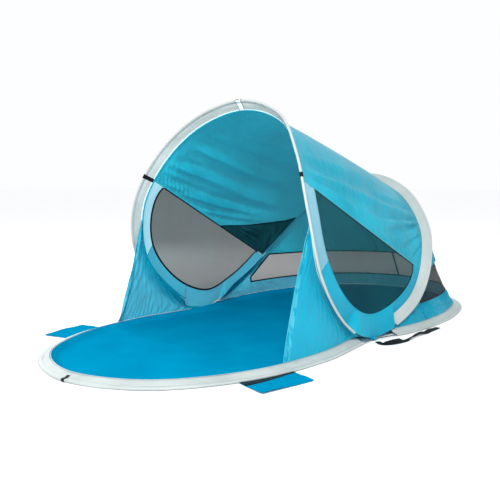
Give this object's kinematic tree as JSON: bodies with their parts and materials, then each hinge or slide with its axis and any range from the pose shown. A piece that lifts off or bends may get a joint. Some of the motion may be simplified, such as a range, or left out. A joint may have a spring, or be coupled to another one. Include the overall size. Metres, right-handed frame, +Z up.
{
  "type": "pop up tent",
  "caption": "Low pop-up beach tent: arched roof on a saddle-bent wire hoop, oval floor hoop, half-moon mesh side windows, mesh rear window and an open front with a long porch floor.",
  "frame": {"origin": "middle of the footprint (bounding box centre) on the ground", "axes": "+Z up; -Y towards the open porch; +X to the side with the black strap"},
  "size_m": [1.31, 2.4804, 1.0153],
  "materials": {
    "roof_blue": "satin coated polyester",
    "side_blue": "satin coated polyester",
    "pale_blue": "thin satin polyester",
    "floor_blue": "smooth coated sheet",
    "sleeve_grey": "satin polyester",
    "mesh_black": "fine see-through mesh",
    "tape_black": "woven tape",
    "spring_steel": "dark coated spring wire",
    "ferrule_metal": "crimped tube"
  },
  "bodies": {
    "tent": {"floor_hoop_wire": "spring_steel", "floor_hoop_ferrule": "ferrule_metal", "arch_hoop_wire": "spring_steel", "arch_hoop_ferrule": "ferrule_metal", "front_arch_sleeve": "sleeve_grey", "rear_arch_sleeve": "sleeve_grey", "floor_sleeve_front": "sleeve_grey", "floor_sleeve_rear": "sleeve_grey", "sleeve_patch_right": "sleeve_grey", "sleeve_patch_left": "sleeve_grey", "arch_band_right": "tape_black", "arch_band_left": "tape_black", "arch_band_top": "sleeve_grey", "floor_band_front": "tape_black", "hoop_tie_right": "side_blue", "hoop_tie_left": "side_blue", "groundsheet": "floor_blue", "floor_rim_front": "floor_blue", "floor_rim_rear": "floor_blue", "roof_panel": "roof_blue", "side_strip_right": "pale_blue", "side_strip_left": "pale_blue", "side_panel_right": "side_blue", "side_panel_left": "side_blue", "side_window_right": "mesh_black", "side_window_left": "mesh_black", "wing_right": "side_blue", "wing_left": "side_blue", "rear_low_wall_right": "side_blue", "rear_low_wall_left": "side_blue", "rear_window_right": "mesh_black", "rear_window_left": "mesh_black", "rear_upper_wall_right": "roof_blue", "rear_upper_wall_left": "roof_blue", "side_window_tape_right": "tape_black", "side_window_tape_left": "tape_black", "rear_window_tape_right": "tape_black", "rear_window_tape_left": "tape_black", "corner_pocket": "mesh_black"},
    "right_sand_pocket": {"sand_pocket_right": "floor_blue"},
    "left_sand_pocket": {"sand_pocket_left": "floor_blue"},
    "strap": {"tie_strap": "tape_black"}
  },
  "joints": [
    {"name": "right_pocket_fold", "type": "hinge", "parent": "tent", "child": "right_sand_pocket", "pos_m": [0.52442, -0.76106, 0.0015], "axis": [-0.2646, -0.9644, 0], "range_deg": [0, 105]},
    {"name": "left_pocket_fold", "type": "hinge", "parent": "tent", "child": "left_sand_pocket", "pos_m": [-0.52442, -0.76106, 0.0015], "axis": [-0.2646, 0.9644, 0], "range_deg": [0, 105]},
    {"name": "strap_lift", "type": "hinge", "parent": "tent", "child": "strap", "pos_m": [0.57, 0.1433, 0.0014], "axis": [-0.1743, -0.9847, 0], "range_deg": [0, 95]}
  ]
}
